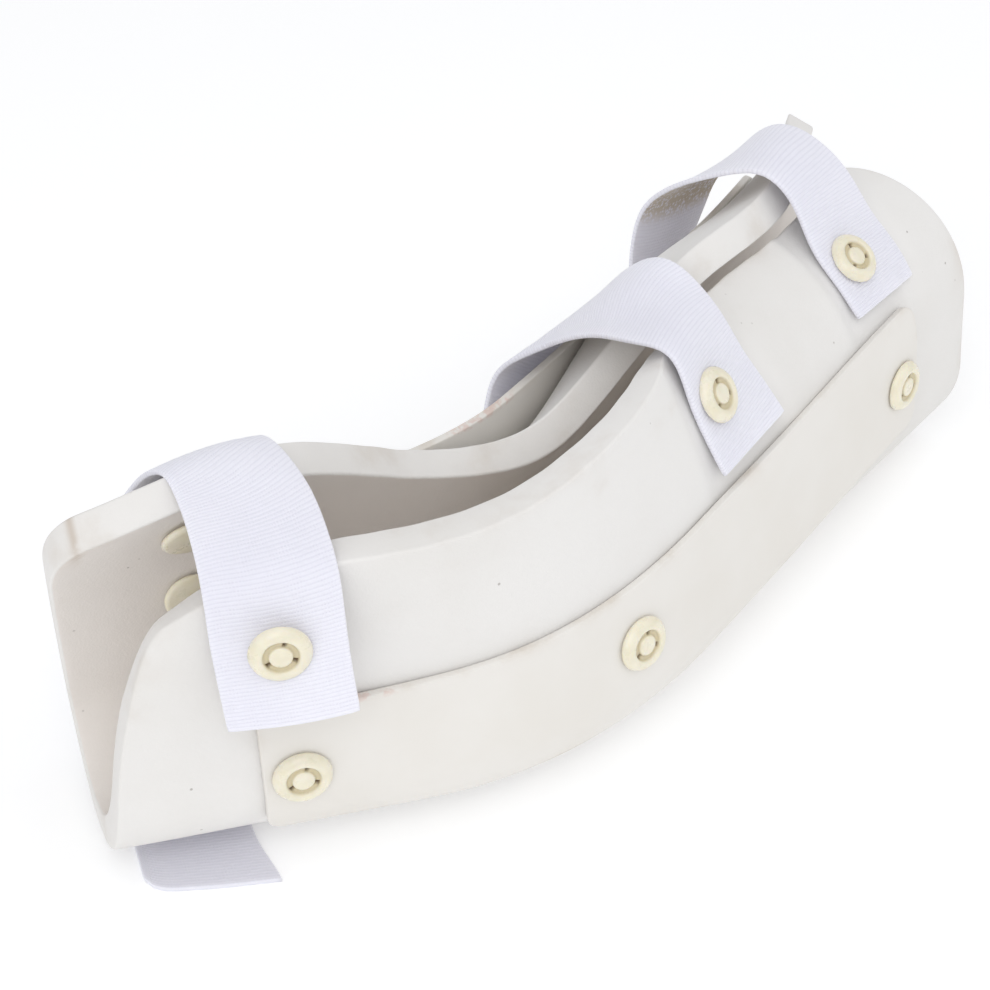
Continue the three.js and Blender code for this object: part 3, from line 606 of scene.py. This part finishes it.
def build_strap(strap):
    """Makes a strap and returns points on it, at and round the place where its rivet sits."""
    cache = {}

    def way(s):
        key = round(float(s) * 2) / 2
        if key not in cache:
            cache[key] = outline(strap, key)
        return cache[key]

    def at(s, d):
        path, length = way(s)
        return np.array([np.interp(d, length, path[:, 0]), np.interp(d, length, path[:, 1])])

    def reach_at(w):
        if not strap["under"]:
            return strap["reach"]
        s, d = strap_cross(strap, strap["reach"], w)
        path, length = way(s)
        beyond = TAIL_BEYOND - TAIL_REACH - TAIL_SKEW * w
        reach = length[int(np.argmax(path[:, 0]))] - beyond + strap["reach"] - d
        across, along = TAIL_ROUND
        t = np.clip((across - HALF_STRAP - w) / across, 0, 1)
        return reach - along * (1 - math.sqrt(1 - t * t))

    def start_at(w):
        return strap["cut"] * (w + HALF_STRAP)

    def middle(distance, w, reach):
        s, d = strap_cross(strap, distance, w)
        ahead, behind = at(s, d + BEND_REACH), at(s, max(d - BEND_REACH, 0))
        x, y = (ahead - behind) / np.linalg.norm(ahead - behind)
        lift = curve(strap["lift"], d / STATION) + curve(strap["twist"], d / STATION) * w / HALF_STRAP
        held = math.exp(-((math.hypot(distance - strap["rivet"], w - strap["side"]) / HELD) ** 4))
        lift = max(lift, 0) * (1 - held) + GAP + STRAP / 2
        if not strap["under"]:
            lift -= STRAP_SINK * (1 - smooth(d, *SINK_END))
        out, up = at(s, d) + np.array([y, -x]) * lift
        flare = 0.0
        if strap["under"]:
            length, pull = TAIL_FLARE
            flare = pull * smooth(distance, reach - length, reach) * smooth(w, FLARE_FROM, HALF_STRAP)
        return place(np.float64(s + flare), out, up)

    widths = np.linspace(-HALF_STRAP, HALF_STRAP, STRAP_LINES)
    rows = int(strap["reach"] / STRAP_STEP)
    grid = np.zeros((rows + 1, len(widths), 3))
    for j, w in enumerate(widths):
        start, reach = start_at(w), reach_at(w)
        for i in range(rows + 1):
            grid[i, j] = middle(start + (reach - start) * i / rows, w, reach)
    begin = start_at(0)
    step = (reach_at(0) - begin) / rows
    spread = np.arange(-BLUR_STEPS, BLUR_STEPS + 1)
    weight = np.exp(-0.5 * (spread * step / BLUR) ** 2)
    weight /= weight.sum()
    border = ((BLUR_STEPS, BLUR_STEPS), (0, 0), (0, 0))
    wide = np.pad(grid, border, "reflect", reflect_type="odd")
    grid = sum(weight[q] * wide[q:q + rows + 1] for q in range(len(spread)))
    if strap["under"]:
        grid[..., 2] = np.maximum(grid[..., 2], STRAP / 2)
    normal = np.cross(np.gradient(grid, axis=1), np.gradient(grid, axis=0))
    normal /= np.linalg.norm(normal, axis=2)[..., None]

    def blend(table, i, j):
        i = np.clip(i, 0, rows - TINY)
        j = np.clip(j, 0, len(widths) - 1 - TINY)
        p, q = i.astype(int), j.astype(int)
        f, g = (i - p)[:, None], (j - q)[:, None]
        return ((table[p, q] * (1 - f) + table[p + 1, q] * f) * (1 - g)
                + (table[p, q + 1] * (1 - f) + table[p + 1, q + 1] * f) * g)

    gap = widths[1] - widths[0]

    def point(d, w, off):
        i, j = (d - begin) / step, (w + HALF_STRAP) / gap
        return blend(grid, i, j) + blend(normal, i, j) * off[:, None]

    length = rows * step
    d, w = np.meshgrid(
        begin + np.linspace(STRAP_RIM, length - STRAP_RIM, rows + 1),
        np.linspace(STRAP_RIM - HALF_STRAP, HALF_STRAP - STRAP_RIM, len(widths)), indexing="ij")
    verts, faces, place_at, side = slab(d, w, point, -STRAP / 2, STRAP / 2, STRAP_RIM)
    along = place_at[:, 0]
    hook = smooth(along, *HOOK_START) * (1 - smooth(along, *HOOK_END)) * (not strap["under"])
    made = piece("strap_" + strap["name"] + "_tape", verts, faces, STRAP_PAINT,
                 "strap_" + strap["name"], place_at * TO_METRES, {"outer": side, "hook": hook})
    line = grid[:, len(widths) // 2]
    drawn_length = float(np.linalg.norm(np.diff(line, axis=0), axis=1).sum())
    turn = np.linspace(0, 2 * np.pi, SEAT_POINTS)
    reach = np.where(np.arange(SEAT_POINTS) > 0, SEAT_RADIUS, 0.0)
    seat_d = strap["rivet"] + reach * np.cos(turn)
    seat_w = strap["side"] + reach * np.sin(turn)
    return point(seat_d, seat_w, np.full(SEAT_POINTS, STRAP / 2))


# Rivets: domed washer, sunk ring with slots, stem, and a flat head inside
TURNS = 48
WELL = (15, 16, 17, 18)      # rows of the washer's outline in its sunk ring
SLOTS = (4, 5, 20, 21, 33, 34)    # where the ring is open, in steps round it
WELL_TINTS = (0.45, 0.8, 0.8, 0.4)
# The slots are sunk only this far; the dark inside them is painted shade
SLOT_DEPTH = 0.75
SEAT_RADIUS = 4.4            # the washer sits on the highest of the points within this distance
SEAT_POINTS = 13
SEAT_GAP = 0.1
CENTRE = 0.02                # smallest radius of the outline


def faces_out(centre, axis):
    """True if axis points away from the middle line of the gutter at the nearest section."""
    s = np.linspace(0, LENGTH, 200)
    line = place(s, 0 * s, 0 * s + centre[2])
    near = line[np.argmin(np.linalg.norm(line - centre, axis=1))]
    return float(np.dot(centre - near, axis)) > 0


def build_rivet(name, seat):
    co = np.array([vert.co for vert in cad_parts[name].data.vertices]) * 1000
    middle = (co.min(0) + co.max(0)) / 2
    spread, axes = np.linalg.eigh(np.cov((co - co.mean(0)).T))
    axis = axes[:, 0 if spread[1] - spread[0] > spread[2] - spread[1] else 2]
    axis = axis if faces_out(co.mean(0), axis) else -axis
    height = (co - middle) @ axis
    top = height.max() - DOME if seat is None else ((seat - middle) @ axis).max() + SEAT_GAP
    bottom = height.min() + INNER_HEAD
    stem = STEM / 2
    rim = HEAD / 2
    base = bottom - INNER_HEAD
    # Radius and height, from the middle of the inner head to the middle of the washer
    rows = [
        (CENTRE, base), (rim - 1.2, base), (rim - 0.4, base + 0.3),
        (rim, bottom - 0.6), (rim - 0.1, bottom), (stem, bottom), (stem, top), (rim - 0.2, top),
        (rim, top + 0.25), (rim - 0.1, top + 0.8), (rim - 0.5, top + 1.5), (rim - 1.1, top + 2.1),
        (rim - 1.8, top + 2.45), (rim - 2.5, top + 2.5), (rim - 3.0, top + 2.35),
        (rim - 3.3, top + 1.9), (rim - 3.4, top + 1.6), (stem + 0.25, top + 1.5),
        (stem + 0.1, top + 1.8), (stem, top + 2.1),
        (stem - 0.35, top + 2.25), (stem - 0.9, top + 2.28), (CENTRE, top + 2.2),
    ]
    side = np.cross(axis, (0.0, 0.0, 1.0))
    side /= np.linalg.norm(side)
    other = np.cross(axis, side)
    verts, groove, slot = [], [], []
    tint = dict(zip(WELL, WELL_TINTS))
    for k, (r, z) in enumerate(rows):
        for i in range(TURNS):
            angle = 2 * math.pi * i / TURNS
            open_here = k in WELL[1:3] and i in SLOTS
            z_here = z - (SLOT_DEPTH if open_here else 0)
            spoke = math.cos(angle) * side + math.sin(angle) * other
            verts.append(middle + axis * z_here + r * spoke)
            groove.append(tint.get(k, 0.0))
            slot.append(1.0 if open_here else 0.0)
    faces = []
    for k in range(len(rows) - 1):
        for i in range(TURNS):
            j = (i + 1) % TURNS
            faces.append((k * TURNS + i, k * TURNS + j, (k + 1) * TURNS + j, (k + 1) * TURNS + i))
    faces.append(tuple(range(TURNS - 1, -1, -1)))
    faces.append(tuple((len(rows) - 1) * TURNS + i for i in range(TURNS)))
    values = {"groove": groove, "slot": slot}
    piece(name + "_head", verts, faces, RIVET_PAINT, name, None, values)


build_shell()
build_bar("side_bar_outer", "bar_outer", NEAR_BAR, 1, False, OUTER_MARKS)
build_bar("side_bar_inner", "bar_inner", FAR_BAR, -1, True, INNER_MARKS)
seats = {"rivet_strap_" + strap["name"]: build_strap(strap) for strap in STRAPS}
for name in sorted(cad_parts):
    if name.startswith("rivet_"):
        build_rivet(name, seats.get(name))

# Floor, light and camera
FLOOR = 6.0                  # half width, in metres
floor_mesh = bpy.data.meshes.new("floor")
corners = [(-FLOOR, -FLOOR, 0), (FLOOR, -FLOOR, 0), (FLOOR, FLOOR, 0), (-FLOOR, FLOOR, 0)]
floor_mesh.from_pydata(corners, [], [(0, 1, 2, 3)])
floor = bpy.data.objects.new("floor", floor_mesh)
bpy.context.scene.collection.objects.link(floor)
ground = Paint("floor")
pale = ground.mix(ground.noise(3.0), (0.97, 0.97, 0.97, 1), (0.955, 0.955, 0.955, 1))
ground.set(Base_Color=pale, Roughness=0.9, Emission_Color=pale, Emission_Strength=0.14)
floor_mesh.materials.append(ground.material)

world = bpy.data.worlds.new("studio")
bpy.context.scene.world = world
world.use_nodes = True
world.node_tree.nodes["Background"].inputs[0].default_value = (0.97, 0.98, 1.0, 1)
world.node_tree.nodes["Background"].inputs[1].default_value = 0.66


def light(name, place_at, target, width, power):
    data = bpy.data.lights.new(name, "AREA")
    data.size = width
    data.energy = power
    obj = bpy.data.objects.new(name, data)
    obj.location = place_at
    obj.rotation_euler = (Vector(target) - Vector(place_at)).to_track_quat("-Z", "Y").to_euler()
    bpy.context.scene.collection.objects.link(obj)


# Name, place and target in metres, width in metres, power in watts
LIGHTS = [
    ("key", (-1.0, -1.15, 1.65), (0, 0, 0.04), 1.35, 8.4),
    ("fill", (0.8, -0.9, 0.9), (0, 0, 0.04), 1.0, 1.6),
    ("top", (-0.1, -0.25, 1.5), (0, 0, 0.0), 1.4, 4.0),
    ("low", (-1.5, -0.45, 0.65), (0, 0, 0.06), 1.2, 2.6),
]
for row in LIGHTS:
    light(*row)

EYE = (-0.27774, -0.30837, 0.39911)     # the camera's place, in metres
HEADING = math.radians(39.3496)
DOWN = math.radians(40.242)

camera = bpy.data.cameras.new("camera")
camera.sensor_width = 36
camera.lens = 72.74
eye = bpy.data.objects.new("camera", camera)
eye.location = EYE
level = math.cos(DOWN)
look = Vector((math.sin(HEADING) * level, math.cos(HEADING) * level, -math.sin(DOWN)))
eye.rotation_euler = look.to_track_quat("-Z", "Y").to_euler()
bpy.context.scene.collection.objects.link(eye)
bpy.context.scene.camera = eye
bpy.context.scene.view_settings.view_transform = "Standard"
